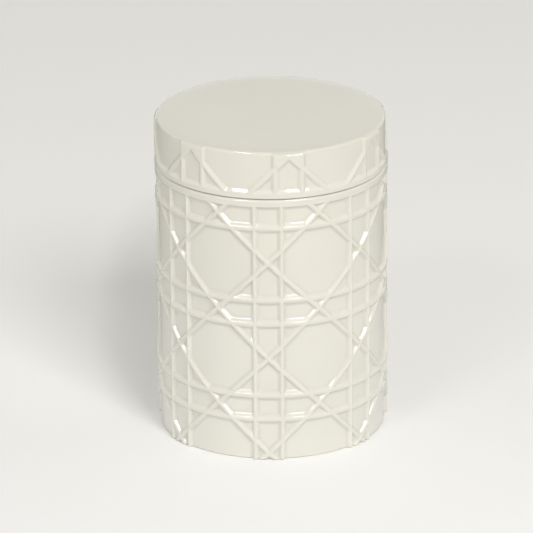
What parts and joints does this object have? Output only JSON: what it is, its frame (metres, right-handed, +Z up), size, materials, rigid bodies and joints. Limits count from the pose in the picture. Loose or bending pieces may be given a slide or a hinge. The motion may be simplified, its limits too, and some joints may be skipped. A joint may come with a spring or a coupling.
{
  "type": "pottery jar",
  "caption": "Cylindrical glazed ceramic jar with a raised caning relief, and a flat lift-off lid that a collar keeps in place.",
  "frame": {"origin": "on the ground, on the jar's axis", "axes": "+Z up along the jar's axis, -Y to the front, where the picture was taken from, +X to the right in the picture"},
  "size_m": [0.1108, 0.1106, 0.1541],
  "materials": {
    "jar_glaze": "glossy ivory glaze over the whole jar but its foot ring and the seat of its rim",
    "lid_glaze": "glossy ivory glaze over the whole lid but the seat under its edge"
  },
  "bodies": {
    "jar": {"jar_body": "jar_glaze"},
    "lid": {"lid": "lid_glaze"}
  },
  "joints": [
    {"name": "lid_lift", "type": "slide", "parent": "jar", "child": "lid", "axis": [0, 0, 1], "range_m": [0, 0.12]}
  ]
}
